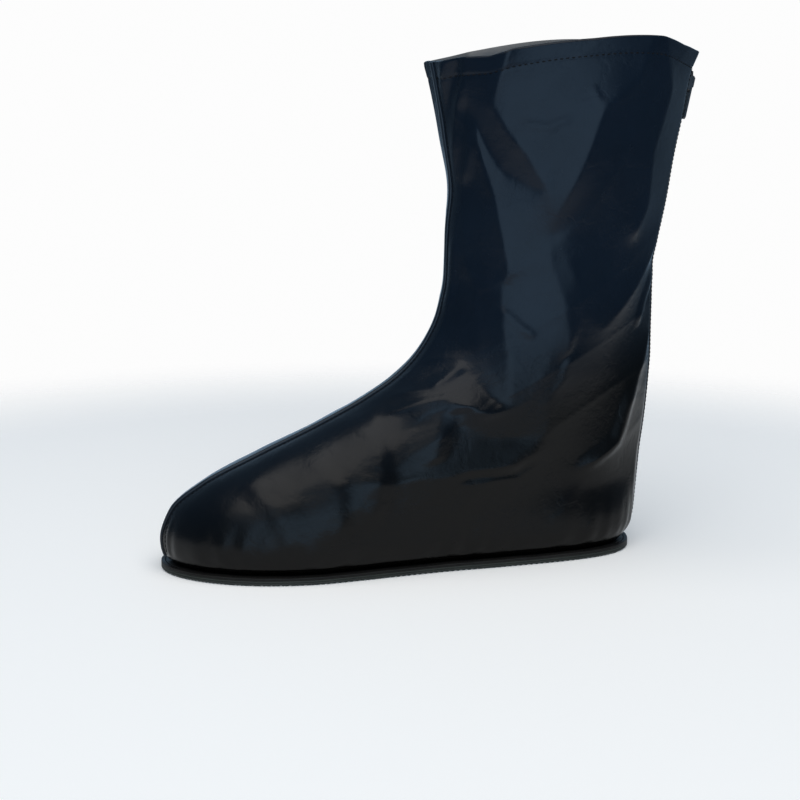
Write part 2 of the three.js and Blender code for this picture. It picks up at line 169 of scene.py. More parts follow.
def loft_faces(rows, count, joined=False):
    """Quads between equal rings, one above the other; joined also links the last to the first."""
    j = np.arange(rows if joined else rows - 1)[:, None]
    i = np.arange(count)[None, :]
    side = (i + 1) % count
    above = (j + 1) % rows * count
    quads = np.stack([j * count + i, j * count + side, above + side, above + i], -1)
    return quads.reshape(-1, 4).tolist()


def tube_faces(rows, count):
    """Faces of a closed tube: quads between its rings and a cap at each end."""
    last = (rows - 1) * count
    caps = [list(range(count))[::-1], list(range(last, last + count))]
    return loft_faces(rows, count) + caps


def placed(name, data):
    """A new object in the scene, with its mesh, lamp or camera."""
    made = bpy.data.objects.new(name, data)
    bpy.context.scene.collection.objects.link(made)
    return made


def sewn_piece(name, points, faces, finishes, slot, finish_of=None, crease=40):
    """One mesh piece that rides on the cover and takes its finish from a material slot."""
    mesh = bpy.data.meshes.new(name)
    mesh.from_pydata(np.asarray(points).tolist(), [], faces)
    for finish in finishes:
        mesh.materials.append(finish)
    if finish_of is not None:
        mesh.polygons.foreach_set("material_index", finish_of)
    mesh.polygons.foreach_set("use_smooth", [True] * len(mesh.polygons))
    mesh.set_sharp_from_angle(angle=math.radians(crease))
    mesh.update()
    piece = placed(name, mesh)
    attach(piece, "cover")
    return piece


def joined_parts(parts):
    """Points and faces of several small closed forms as one mesh."""
    points, faces, start = [], [], 0
    for part_points, part_faces in parts:
        points.append(part_points)
        faces.extend([[corner + start for corner in face] for face in part_faces])
        start += len(part_points)
    return np.concatenate(points), faces


class Wiring:
    """The nodes of a material or of the room, with short ways to add them."""

    def __init__(self, tree):
        self.tree = tree

    def node(self, kind, wired=(), **settings):
        """A node with its settings; wired gives pairs of an input and the output that feeds it."""
        made = self.tree.nodes.new("ShaderNode" + kind)
        for key, value in settings.items():
            key = key.replace("_", " ") if key[0].isupper() else key
            if key in made.inputs:
                made.inputs[key].default_value = value
            else:
                setattr(made, key, value)
        for key, output in wired:
            self.tree.links.new(output, made.inputs[key])
        return made

    def along(self, place, way):
        """How far a place or direction reaches along a way."""
        made = self.node("VectorMath", [(0, place)], operation="DOT_PRODUCT")
        made.inputs[1].default_value = way
        return made.outputs["Value"]

    def graded(self, value, low=0.0, high=1.0, start=0.0, end=1.0, kind="SMOOTHSTEP"):
        """A value that goes from start to end as another goes from low to high."""
        scale = self.node("MapRange", [("Value", value)], interpolation_type=kind,
                          From_Min=low, From_Max=high, To_Min=start, To_Max=end)
        return scale.outputs["Result"]


class Finish(Wiring):
    """A material, with short ways to add its patterns, colours and relief."""

    def __init__(self, name, roughness, gloss=0.5, **shader_settings):
        self.material = bpy.data.materials.new(name)
        self.material.use_nodes = True
        super().__init__(self.material.node_tree)
        self.shader = self.tree.nodes["Principled BSDF"]
        self.shader.inputs["Roughness"].default_value = roughness
        self.shader.inputs["Specular IOR Level"].default_value = gloss
        for key, value in shader_settings.items():
            self.shader.inputs[key.replace("_", " ")].default_value = value
        self.place = self.node("TexCoord").outputs["Object"]

    def pattern(self, kind, output="Fac", at=None, **settings):
        """A pattern that is fixed to the piece."""
        return self.node("Tex" + kind, [("Vector", at or self.place)], **settings).outputs[output]

    def colour_between(self, amount, dark, light):
        """A ramp from dark to light, driven by a node's output."""
        ramp = self.node("ValToRGB", [("Fac", amount)])
        for element, position, colour in zip(ramp.color_ramp.elements, (0.3, 0.7), (dark, light)):
            element.position = position
            element.color = colour
        return ramp.outputs["Color"]

    def mixed(self, share, first, second):
        """A colour between two, each a plain colour or a node's output."""
        mix = self.node("Mix", [("Factor", share)], data_type="RGBA")
        for key, colour in (("A", first), ("B", second)):
            if isinstance(colour, tuple):
                mix.inputs[key].default_value = colour
            else:
                self.tree.links.new(colour, mix.inputs[key])
        return mix.outputs["Result"]

    def relief(self, height, strength, depth, under=None):
        """A bump layer, over an earlier one if that is given."""
        wired = [("Height", height)] + ([("Normal", under)] if under else [])
        return self.node("Bump", wired, Strength=strength, Distance=depth).outputs["Normal"]

    def wear(self, **outputs):
        """Feed the shader and hand out the material."""
        for key, output in outputs.items():
            self.tree.links.new(output, self.shader.inputs[key.replace("_", " ")])
        return self.material


sheet = Finish("sheet_rubber", 0.5, 0.35)
cloud = sheet.pattern("Noise", Scale=45.0, Detail=6.0)
grain = sheet.pattern("Noise", Scale=1800.0, Detail=4.0)
rubber_colour = sheet.colour_between(cloud, RUBBER_DARK, RUBBER_LIGHT)
level = sheet.node("SeparateXYZ", [("Vector", sheet.place)]).outputs["Z"]
# lays the painted shade of the underside and the lighter crests, partly wear and partly painted
# highlight, over the rubber's colour
for colour, near_height, far_height in RUBBER_SHADE_AND_CREST_LIGHT:
    share = sheet.graded(level, near_height, far_height, 1.0, 0.0)
    rubber_colour = sheet.mixed(share, rubber_colour, colour)
rubber = sheet.wear(
    Base_Color=rubber_colour,
    Roughness=sheet.graded(cloud, start=0.42, end=0.66, kind="LINEAR"),
    Normal=sheet.relief(grain, 0.35, 0.15 * MM),
)

# faces of a rib between its two four-cornered ends
RIB_FACES = [[0, 1, 5, 4], [1, 2, 6, 5], [2, 3, 7, 6], [3, 0, 4, 7], [3, 2, 1, 0], [4, 5, 6, 7]]


def rib_spans(direction, offset, edge):
    """Where a straight line across the sole enters and leaves a closed outline."""
    across = np.array([-direction[1], direction[0]])
    height = edge @ across - offset
    after = np.roll(height, -1)
    crossed = np.nonzero((height < 0) != (after < 0))[0]
    share = height[crossed] / (height[crossed] - after[crossed])
    run = edge @ direction
    return np.sort(run[crossed] + share * (np.roll(run, -1)[crossed] - run[crossed]))


def tread_ribs(turn, crest_height):
    """Every rib of one direction, cut to the outline and stopped on both sides of the groove."""
    turned = full_turn(TREAD_OUTLINE_STEPS)
    margin = sole_outline(turned, TREAD_MARGIN)
    groove_out = sole_outline(turned, GROOVE_INSET - GROOVE_HALF)
    groove_in = sole_outline(turned, GROOVE_INSET + GROOVE_HALF)
    direction = np.array([math.cos(turn), math.sin(turn)])
    across = np.array([-direction[1], direction[0]])
    reach = int(SOLE_LENGTH / TREAD_PITCH)
    sides = ((-RIB_FOOT / 2, TREAD_HEIGHT + RIB_SINK), (-RIB_CREST / 2, crest_height),
             (RIB_CREST / 2, crest_height), (RIB_FOOT / 2, TREAD_HEIGHT + RIB_SINK))
    for row in range(-reach, reach + 1):
        cuts = []
        for shift, height in sides:
            offset = row * TREAD_PITCH + shift
            edges = [rib_spans(direction, offset, edge) for edge in (margin, groove_out, groove_in)]
            cuts.append(np.sort(np.concatenate(edges)))
        if min(len(cut) for cut in cuts) != max(len(cut) for cut in cuts) or not len(cuts[0]):
            continue
        for start in range(0, len(cuts[0]) - 1, 2):
            if cuts[1][start + 1] - cuts[1][start] < RIB_CREST:
                continue
            points = []
            for end in (start, start + 1):
                for cut, (shift, height) in zip(cuts, sides):
                    flat = direction * cut[end] + across * (row * TREAD_PITCH + shift)
                    points.append((flat[0], flat[1], height))
            yield np.array(points), RIB_FACES


def cap_faces(first, count, flip):
    """Quads straight across a ring, from one side of the sole to the other."""
    faces = []
    for i in range(count // 2):
        face = [first + i, first + (count - i) % count, first + count - i - 1, first + i + 1]
        face = list(dict.fromkeys(face))
        faces.append(face[::-1] if flip else face)
    return faces


def sole_sheet():
    """The rubber sheet, from the groove's inner edge round its ribbed side to its top."""
    base = TREAD_HEIGHT
    side = SOLE_THICKNESS - base
    profile = [
        (GROOVE_INSET + GROOVE_HALF, base),
        (GROOVE_INSET + GROOVE_HALF / 2, base + GROOVE_DEPTH),
        (GROOVE_INSET - GROOVE_HALF / 2, base + GROOVE_DEPTH),
        (GROOVE_INSET - GROOVE_HALF, base),
    ]
    profile += [(deep * SIDE_RIB_DEPTH, base + up * side) for deep, up in SIDE_RIBS]
    points = np.concatenate([outline_ring(inset, height) for inset, height in profile])
    faces = loft_faces(len(profile), OUTLINE_STEPS)
    faces += cap_faces(0, OUTLINE_STEPS, False)
    faces += cap_faces((len(profile) - 1) * OUTLINE_STEPS, OUTLINE_STEPS, True)
    return points, faces


def stitch_row(starts, ends, outward, thickness, rise):
    """A row of thread stitches, each a thin bowed capsule from start to end, lying on a surface."""
    ring = full_turn(THREAD_SIDES)
    stations = np.linspace(0, 1, THREAD_STATIONS)
    quads = tube_faces(THREAD_STATIONS, THREAD_SIDES)
    for start, end, out in zip(starts, ends, outward):
        along = (end - start) / np.linalg.norm(end - start)
        side = np.cross(out, along)
        points = []
        for share in stations:
            bow = 4 * share * (1 - share)
            centre = start + (end - start) * share + out * (rise * bow - thickness * THREAD_SUNK)
            radius = thickness / 2 * (THREAD_END + (1 - THREAD_END) * bow)
            points.extend(centre + radius * (np.cos(t) * side + np.sin(t) * out) for t in ring)
        yield np.array(points), quads


def length_along(points):
    """Length of a line up to each of its points."""
    return np.concatenate([[0], np.cumsum(np.linalg.norm(np.diff(points, axis=0), axis=1))])


def spot_along(distance, run, values):
    """Values at a distance along a line whose length up to each point is run."""
    return np.stack([np.interp(distance, run, values[:, axis]) for axis in range(3)], -1)


def even_stitches(points, outward, pitch, share, thickness, rise, fit=int):
    """Stitches at equal steps along a line; share is a stitch's part of its step."""
    run = length_along(points)
    count = fit(run[-1] / pitch)
    begin = np.arange(count) * run[-1] / count
    end = begin + share * run[-1] / count
    out = spot_along((begin + end) / 2, run, outward)
    starts, ends = (spot_along(distance, run, points) for distance in (begin, end))
    return stitch_row(starts, ends, out, thickness, rise)


def margin_stitches(inset, height, outward, pitch, thickness):
    """Stitches all round the sole's outline, at an inset and a height."""
    flat = sole_outline(np.linspace(0, 2 * math.pi, STITCH_LINE_STEPS), inset)
    points = np.column_stack([flat, np.full(len(flat), height)])
    out = np.tile(np.array(outward, float), (len(flat), 1))
    return even_stitches(points, out, pitch, SOLE_STITCH_SHARE, thickness, THREAD, fit=round)


sole_parts = [sole_sheet()]
sole_parts += tread_ribs(TREAD_TURN, 0.0)
sole_parts += tread_ribs(TREAD_TURN + math.pi / 2, CROSS_RIB_DROP)
outsole = sewn_piece("outsole_sheet", *joined_parts(sole_parts), [rubber], "sole_rubber", crease=25)
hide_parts("outsole")

spun = Finish("black_thread", 0.75, 0.1)
fibre = spun.pattern("Noise", Scale=900.0, Detail=3.0)
thread = spun.wear(Base_Color=spun.colour_between(fibre, THREAD_DARK, THREAD_LIGHT))

sole_stitches = margin_stitches(
    GROOVE_INSET, TREAD_HEIGHT + GROOVE_DEPTH, (0, 0, -1), SOLE_STITCH, 2 * THREAD)
sewn_piece("outsole_stitches", *joined_parts(sole_stitches), [thread], "sole_rubber")

# Welt: the turned-out lower edge of the cover, a doubled strip of coated nylon that lies on the
# rubber. It is trimmed flush with the sole and stitched through it along its middle.
WELT_BASE = SOLE_THICKNESS
WELT_TOP = 4.9 * MM
WELT_STITCH = 3.0 * MM
WELT_STITCH_INSET = 2.6 * MM
WELT_STITCH_DEPTH = 0.25 * MM
WELT_WAVE = 0.12 * MM
WELT_DARK = (0.0045, 0.0042, 0.0038, 1)
WELT_LIGHT = (0.0105, 0.0098, 0.0088, 1)
CLOTH_DARK = (0.0026, 0.0060, 0.0118, 1)
CLOTH_LIGHT = (0.0040, 0.0083, 0.0155, 1)
# painted shade: the darker, neutral black that the upper's cloth is given low down, round the foot
CLOTH_FOOT_SHADE = (0.0008, 0.0007, 0.0006, 1)
FOOT_SLOPE = (-0.35, 0, 1)
FOOT_SHADE_FADE = (55 * MM, 135 * MM)
COAT_ROUGHNESS = 0.16

# relief of the cloth, from the finest to the widest: strength and depth
GRAIN_RELIEF = (0.22, 0.1 * MM)
WEAVE_RELIEF = (0.15, 0.05 * MM)
CRUMPLE_RELIEF = (0.35, 0.6 * MM)
PACKED_RELIEF = (0.18, 0.35 * MM)

# cross-section of the strip from its outer edge over its top: inset in mm, share of its height
WELT_PROFILE = (
    (0.45, 0.0), (0.05, 0.2), (0.0, 0.42), (0.4, 0.5), (0.05, 0.58), (0.1, 0.85), (0.6, 1.0),
    (2.2, 0.95), (2.6, 0.8), (3.0, 0.95), (4.6, 1.02), (6.3, 0.9), (6.3, 0.0),
)


def welt_ring():
    """The strip as one closed ring round the sole, with a slight waviness along its top."""
    turned = full_turn(OUTLINE_STEPS)
    wave = WELT_WAVE * (np.sin(23 * turned) + np.sin(41 * turned + 1.3)) / 2
    rings = []
    for inset, up in WELT_PROFILE:
        ring = outline_ring(inset * MM, WELT_BASE + up * (WELT_TOP - WELT_BASE))
        ring[:, 2] += wave * up
        rings.append(ring)
    return np.concatenate(rings), loft_faces(len(WELT_PROFILE), OUTLINE_STEPS, joined=True)


def coated_cloth(name, dark, light, roughness, gloss, coat, foot=None):
    """Tightly woven nylon under a thin waterproof coat, with a fine weave and faint cloudiness.

    foot is a painted shade: a darker, neutral black that the cloth is given low down, round the foot,
    in place of its navy."""
    cloth = Finish(name, roughness, gloss, Coat_Weight=coat, Coat_Roughness=COAT_ROUGHNESS)
    cloud = cloth.pattern("Noise", Scale=28.0, Detail=5.0, Roughness=0.55)
    warp = cloth.pattern("Wave", Scale=620.0, Distortion=1.2, bands_direction="X")
    weft = cloth.pattern("Wave", Scale=620.0, Distortion=1.2, bands_direction="Z")
    crumple = cloth.pattern("Noise", Scale=85.0, Detail=8.0, Roughness=0.62)
    grain = cloth.pattern("Noise", Scale=850.0, Detail=2.0)
    colour = cloth.colour_between(cloud, dark, light)
    # painted shade: the colour goes over to the darker, neutral foot colour towards the bottom
    if foot:
        height = cloth.along(cloth.place, FOOT_SLOPE)
        colour = cloth.mixed(cloth.graded(height, *FOOT_SHADE_FADE), foot, colour)
    weave = cloth.node("Math", [(0, warp), (1, weft)], operation="ADD").outputs["Value"]
    bent = cloth.node("Mix", [("A", cloth.place), ("B", crumple.node.outputs["Color"])],
                      data_type="VECTOR", Factor=0.03).outputs["Result"]
    crease = cloth.pattern("Voronoi", "Distance", bent, feature="DISTANCE_TO_EDGE", Scale=34.0)
    pebble = cloth.relief(grain, *GRAIN_RELIEF)
    woven = cloth.relief(weave, *WEAVE_RELIEF, under=pebble)
    soft = cloth.relief(crumple, *CRUMPLE_RELIEF, under=woven)
    packed = cloth.relief(cloth.graded(crease, high=0.12), *PACKED_RELIEF, under=soft)
    shine = cloth.graded(crumple, start=roughness - 0.06, end=roughness + 0.08, kind="LINEAR")
    return cloth.wear(Base_Color=colour, Roughness=shine, Normal=packed)


welt_cloth = coated_cloth("welt_nylon", WELT_DARK, WELT_LIGHT, 0.5, 0.25, 0.03)
welt = sewn_piece("welt_strip", *welt_ring(), [welt_cloth], "welt_fabric", crease=50)
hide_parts("welt")

welt_stitches = margin_stitches(
    WELT_STITCH_INSET, WELT_TOP - WELT_STITCH_DEPTH, (0, 0, 1), WELT_STITCH, 1.6 * THREAD)
sewn_piece("welt_stitches", *joined_parts(welt_stitches), [thread], "welt_fabric")

# Upper: one bag of thin coated nylon from the welt to the collar, slack over the foot and shin.
# Its folds are soft troughs and ridges in the cloth, and its collar is turned in once and hemmed.
COLLAR_HEIGHT = 320 * MM
UPPER_WALL = 1.0 * MM
HEM_HEIGHT = 10 * MM
HEM_FOLD = 0.8 * MM
CLEARANCE = 0.3 * MM
BASE_HEIGHT = 3.3 * MM
SEAT_INSET = 6.3 * MM
UPPER_RISE = COLLAR_HEIGHT - BASE_HEIGHT
CORNER_ANGLE = -0.45
CORNER_SPREAD = 0.28
CROWN_FRONT = 0.6
CROWN_LEAN = 0.8
NORMAL_STEP = 0.004
ROUND_STEPS = 320
FOOT_ROWS = 6
OUTER_ROWS = 226
INNER_ROWS = 56

# one row of shares for each section, from the welt to the rim; the columns are named below it
SECTIONS = (
    (0, 0, 1, 0, 0.43, 1, 1, 0, 0),
    (0, 0.006, 1, 0.006, 0.43, 1, 1, 0, 0),
    (0, 0.018, 1, 0.018, 0.45, 0.97, 0.4, 0, 0),
    (0.002, 0.058, 1.009, 0.05, 0.47, 0.9, 0, 0, 0),
    (0.022, 0.11, 1.017, 0.115, 0.46, 0.7, 0, 0, 0),
    (0.085, 0.158, 1.024, 0.182, 0.45, 0.42, 0, 0, 0),
    (0.195, 0.208, 1.034, 0.25, 0.44, 0.22, 0, 0, 0),
    (0.322, 0.262, 1.041, 0.32, 0.43, 0.1, 0, 0, 0),
    (0.424, 0.311, 1.045, 0.388, 0.42, 0.03, 0, 0, 0),
    (0.494, 0.354, 1.045, 0.447, 0.41, 0, 0, 0, 0),
    (0.543, 0.404, 1.045, 0.498, 0.405, 0, 0, 0, 0),
    (0.58, 0.473, 1.045, 0.558, 0.405, 0, 0, 0, 0),
    (0.596, 0.547, 1.054, 0.608, 0.412, 0, 0, 0, 0),
    (0.598, 0.631, 1.072, 0.69, 0.425, 0, 0, 0.005, 0),
    (0.606, 0.715, 1.086, 0.772, 0.445, 0, 0, 0.01, 0.02),
    (0.592, 0.817, 1.104, 0.855, 0.465, 0, 0, 0.018, 0.055),
    (0.577, 0.905, 1.119, 0.93, 0.48, 0, 0, 0.028, 0.065),
    (0.566, 0.955, 1.138, 0.971, 0.49, 0, 0, 0.037, 0.07),
)
SECTION_COLUMNS = ("front", "front_up", "back", "back_up", "half", "sole", "inset", "crown", "corner")
RIM = len(SECTIONS) - 1
section = {
    name: smooth_curve(range(RIM + 1), [row[i] for row in SECTIONS])
    for i, name in enumerate(SECTION_COLUMNS)
}


def upper_surface(angle, place):
    """Outer surface of the upper without its folds, at a ring angle and a section place."""
    angle, place = np.broadcast_arrays(np.asarray(angle, float), np.asarray(place, float))
    share = (1 - np.cos(angle)) / 2
    inset = section["inset"](place) * SEAT_INSET
    foot = sole_outline(angle, inset)
    level = SOLE_LENGTH * (share - 0.5)
    front = SOLE_LENGTH * (section["front"](place) - 0.5)
    back = SOLE_LENGTH * (section["back"](place) - 0.5)
    turned = np.arctan2(np.sin(angle), np.cos(angle)) - CORNER_ANGLE
    corner = section["corner"](place) * BALL_WIDTH * np.exp(-((turned / CORNER_SPREAD) ** 2))
    sole = section["sole"](place)
    end_shift = np.cos(angle) * inset
    x = front + (back - front) * share - corner + end_shift + (foot[..., 0] - level - end_shift) * sole
    own_y = -np.sin(angle) * section["half"](place) * BALL_WIDTH
    y = own_y + (foot[..., 1] - own_y) * sole
    up = section["front_up"](place) * (1 - share) + section["back_up"](place) * share
    crown = section["crown"](place) * np.sin(angle) ** 2 * (CROWN_FRONT + CROWN_LEAN * share)
    return np.stack([x, y, BASE_HEIGHT + (up + crown) * UPPER_RISE], -1)


def outward_of(surface, angle, place):
    """Outward direction of a surface that is given by ring angle and section place."""
    around = surface(angle + NORMAL_STEP, place) - surface(angle - NORMAL_STEP, place)
    above, below = np.minimum(place + NORMAL_STEP, RIM), np.maximum(place - NORMAL_STEP, 0)
    upward = surface(angle, above) - surface(angle, below)
    normal = np.cross(around, upward)
    return normal / np.linalg.norm(normal, axis=-1, keepdims=True)


def ease(value, low, high):
    """Soft step from 0 at low to 1 at high."""
    s = np.clip((value - low) / (high - low), 0, 1)
    return s * s * (3 - 2 * s)


# Creases of the outer side. The cloth is drawn flat between them. Each line runs through corners
# (thousandths of the sole's length, thousandths of the collar's height, rise in mm).
OUTER_CREASES = (
    # the light panel under the collar: its front edge, its back edge and the knot at its foot
    ((686, 1010, 2), (649, 880, 2.5), (679, 832, 2.5), (721, 782, 2.2),
     (756, 725, 1.8), (779, 671, 0.5)),
    ((985, 1010, 1), (947, 922, 1.5), (871, 876, 2.2), (843, 796, 2.5),
     (816, 737, 2.2), (779, 671, 0.5)),
    ((779, 671, 0.5), (777, 632, -1.5), (797, 604, -0.8), (827, 552, 0.5)),
    # the trough beside it, the pointed fold of the shin and the hollow in front of that
    ((626, 853, -1), (645, 809, -2), (679, 750, -2.2), (734, 721, -0.8), (756, 725, 1.8)),
    ((626, 853, -1), (638, 779, 1.8), (660, 712, 2.2), (669, 661, 2.2),
     (690, 566, 1.8), (677, 540, 0.5)),
    ((617, 812, 0.3), (616, 743, 0), (614, 679, -0.3), (615, 587, -0.3),
     (634, 534, -0.3), (677, 540, 0.5)),
    ((600, 1010, 1.2), (608, 905, 0.8), (626, 853, -1)),
    # the ankle: the crest beside the tendon, its valley and the flat facet behind it
    ((677, 540, 0.5), (675, 483, 1.6), (687, 408, 2), (685, 311, 0.5)),
    ((631, 520, -0.6), (632, 440, -1.6), (650, 375, -1.6), (678, 320, 0)),
    ((675, 483, 1.6), (705, 499, 0.4), (745, 460, 0.8), (772, 405, 1.2),
     (758, 373, 1), (727, 324, 0.3), (685, 311, 0.5)),
    ((777, 632, -1.5), (767, 586, 0.8), (798, 512, 1.6), (818, 436, 2),
     (805, 362, 0.9), (767, 316, 0.2)),
    # the back: the fold over the heel, the corner under the collar, the arc round the heel
    ((827, 552, 0.5), (857, 477, 0.2), (892, 449, 0), (970, 518, 0.3),
     (1028, 582, 0.8), (1052, 646, 0.5)),
    ((1005, 1010, 1.5), (1035, 904, 1), (997, 790, -0.5), (995, 685, -0.5), (967, 631, -1)),
    ((1031, 433, 1), (1011, 386, 1.5), (987, 337, 1.6), (969, 288, 1.5),
     (950, 238, 1.3), (919, 208, 1), (878, 189, 0.5)),
    ((857, 477, 0.2), (824, 425, 0.3), (783, 361, 0.3), (774, 303, 0), (769, 249, 0)),
    # the roll across the instep: the trough over it, its crest and its lower edge
    ((498, 364, -0.5), (533, 392, -1.5), (580, 404, -2.5), (611, 396, -3),
     (630, 350, -2.2), (660, 320, -0.6)),
    ((479, 336, 1.5), (528, 345, 2), (561, 363, 1), (611, 396, -3)),
    ((447, 304, 3), (510, 326, 4), (548, 335, 4.5), (597, 318, 4.5),
     (632, 303, 3.2), (660, 304, 1.8), (685, 311, 0.5)),
    # the side of the foot: pocket, bulge and the lens-shaped fold with its trough
    ((510, 326, 4), (499, 286, -1.5), (477, 241, -2.2), (460, 193, -1)),
    ((540, 310, 1), (535, 262, 2), (523, 220, 1.2)),
    ((569, 308, 1.5), (580, 282, -1.5), (569, 248, -1.2), (550, 215, -0.3)),
    ((587, 310, 0.3), (604, 273, -1.2), (650, 254, -1.6), (706, 251, -1.4), (760, 244, 0)),
    ((462, 186, 0.6), (515, 187, 1), (569, 189, 1.4), (624, 193, 1.8),
     (702, 197, 1.8), (741, 219, 1), (760, 244, 0)),
)

# Creases of the inner side, in the same columns
INNER_CREASES = (
    ((700, 1010, 1.5), (660, 880, 2), (700, 790, 2), (760, 680, 0.5)),
    ((970, 1010, 1), (900, 880, 2), (840, 760, 2), (760, 680, 0.5)),
    ((760, 680, 0.5), (775, 600, 1.5), (820, 500, 2), (810, 380, 1.5)),
    ((625, 840, -0.8), (655, 760, -1.5), (710, 700, -1)),
    ((620, 800, 0.3), (660, 700, 2), (680, 600, 1.5), (670, 500, 1.8), (685, 400, 2), (690, 315, 0.5)),
    ((820, 500, 2), (900, 470, 1.5), (980, 530, 2), (1050, 630, 0.5)),
    ((450, 305, 2), (550, 335, 2.8), (630, 310, 2), (690, 315, 0.5)),
    ((500, 370, -1), (580, 410, -1.5), (650, 345, -1)),
    ((460, 190, 0.6), (600, 185, 1.5), (700, 200, 1.5), (760, 240, 0)),
    ((600, 270, -1.2), (680, 250, -1.5), (760, 240, 0)),
    ((1030, 440, 1.5), (990, 330, 2.4), (940, 230, 2), (870, 185, 0.8)),
)
CREASE_STEP = 1.0 * MM
CREASE_REACH = 3.0 * MM
PANEL_COLUMNS = 161
PANEL_ROWS = 227
PANEL_FOOT = 2.0
HELD_FRONT = 0.22
HELD_BACK = 0.3
HELD_BELOW = 3
FULL_ABOVE = 4.5
DRAWN_FROM = (0.40, 0.50)
LEAST_STEP = 0.2 * MM
DRAW_SWEEPS = 420
DRAW_PULL = 1.88


def drawn_panels(creases, side):
    """Sideways shift of the cloth on one side, drawn flat between its creases."""
    angle, place = np.meshgrid(np.linspace(0, math.pi, PANEL_COLUMNS),
                               np.linspace(PANEL_FOOT, RIM, PANEL_ROWS), indexing="ij")
    plain = upper_surface(side * angle, place)
    x, y, z = plain[..., 0], plain[..., 1], plain[..., 2]
    held = (angle < HELD_FRONT) | (angle > math.pi - HELD_BACK) | (place < HELD_BELOW)
    drawn = y.copy()
    for crease in creases:
        corners = np.array(crease) / (1000, 1000, 1) * (SOLE_LENGTH, COLLAR_HEIGHT, MM)
        corners = corners - (SOLE_LENGTH / 2, 0, 0)
        for start, end in zip(corners[:-1], corners[1:]):
            count = max(2, int(math.dist(start[:2], end[:2]) / CREASE_STEP))
            for spot in start + (end - start) * np.linspace(0, 1, count)[:, None]:
                gap = np.hypot(x - spot[0], z - spot[1])
                nearest = np.unravel_index(gap.argmin(), gap.shape)
                if gap[nearest] < CREASE_REACH and angle[nearest] > HELD_FRONT:
                    drawn[nearest] = y[nearest] - side * spot[2]
                    held[nearest] = True
    around, upward = (
        np.hypot(np.diff(x, axis=way), np.diff(z, axis=way)).clip(LEAST_STEP) for way in (0, 1))
    wide, tall = np.pad(around, ((0, 1), (0, 0)), "edge"), np.pad(upward, ((0, 0), (0, 1)), "edge")
    pull_around, pull_upward = tall[:-1] / around, wide[:, :-1] / upward
    weight = np.zeros_like(y)
    weight[:-1] += pull_around
    weight[1:] += pull_around
    weight[:, :-1] += pull_upward
    weight[:, 1:] += pull_upward
    column, row = np.indices(y.shape)
    turns = [~held & ((column + row) % 2 == parity) for parity in (0, 1)]
    for _ in range(DRAW_SWEEPS):
        for turn in turns:
            total = np.zeros_like(y)
            total[:-1] += pull_around * drawn[1:]
            total[1:] += pull_around * drawn[:-1]
            total[:, :-1] += pull_upward * drawn[:, 1:]
            total[:, 1:] += pull_upward * drawn[:, :-1]
            drawn = np.where(turn, drawn + DRAW_PULL * (total / weight - drawn), drawn)
    shift = drawn - y
    shift[1:-1] = (shift[:-2] + 2 * shift[1:-1] + shift[2:]) / 4
    shift[:, 1:-1] = (shift[:, :-2] + 2 * shift[:, 1:-1] + shift[:, 2:]) / 4
    return shift * ease(x / SOLE_LENGTH + 0.5, *DRAWN_FROM) * ease(place, HELD_BELOW, FULL_ABOVE)


panel_shift = {side: drawn_panels(creases, side)
               for side, creases in ((1, OUTER_CREASES), (-1, INNER_CREASES))}


def shift_at(angle, place):
    """Sideways shift of the drawn cloth at any ring angle and section place."""
    turned = np.arctan2(np.sin(angle), np.cos(angle))
    column = np.abs(turned) / math.pi * (PANEL_COLUMNS - 1)
    row = (place - PANEL_FOOT) / (RIM - PANEL_FOOT) * (PANEL_ROWS - 1)
    column, row = np.clip(column, 0, PANEL_COLUMNS - 1.001), np.clip(row, 0, PANEL_ROWS - 1.001)
    i, j = column.astype(int), row.astype(int)
    s, t = column - i, row - j
    values = []
    for shift in (panel_shift[1], panel_shift[-1]):
        low = shift[i, j] * (1 - s) + shift[i + 1, j] * s
        high = shift[i, j + 1] * (1 - s) + shift[i + 1, j + 1] * s
        values.append(low * (1 - t) + high * t)
    return np.where(turned > 0, *values)


# Small folds between the creases. rise is positive for a ridge and negative for a trough; toe and
# heel are the reach of the slope on each side of the crest; all three in millimetres. The line
# runs from top to bottom through thousandths of the sole's length and the collar's height.
OUTER_FOLDS = (
    (0.5, 4, 3, ((671, 500), (713, 462), (745, 440))),
    (0.5, 9, 6, ((360, 184), (462, 180))),
    (1.9, 3, 4, ((576, 1010), (583, 850), (592, 640))),
    (-1.5, 3, 3, ((590, 990), (588, 800), (600, 690))),
    (1.4, 3, 3, ((598, 930), (602, 800), (599, 700))),
    (1.1, 3, 3, ((603, 640), (597, 540), (582, 470))),
    (0.6, 3, 3, ((608, 870), (622, 800), (618, 720))),
    (1.0, 20, 9, ((385, 310), (415, 235), (405, 150), (370, 90))),
    (0.9, 18, 8, ((275, 245), (320, 180), (325, 110), (300, 60))),
    (0.7, 8, 16, ((150, 190), (205, 140), (225, 85), (220, 45))),
    (0.5, 3, 2, ((700, 845), (760, 838), (810, 860))),
    (0.4, 2, 2, ((845, 915), (862, 880))),
    (1.0, 6, 5, ((985, 350), (935, 225), (824, 165))),
    (-0.7, 3, 4, ((560, 180), (700, 186), (752, 215))),
    (0.6, 3, 3, ((528, 345), (572, 372), (611, 396))),
    (0.9, 3, 3, ((1045, 560), (1010, 500), (985, 440))),
)
INNER_FOLDS = (
    (1.0, 20, 9, ((370, 300), (400, 220), (390, 140), (350, 80))),
    (0.9, 18, 8, ((260, 240), (300, 170), (300, 100), (270, 55))),
    (0.7, 8, 16, ((140, 180), (190, 130), (205, 80), (195, 45))),
)
FOLD_CREST = 1.1 * MM
FOLD_DEPTH = 1.5
FOLD_END = 0.22
FOLD_FOOT = 0.12


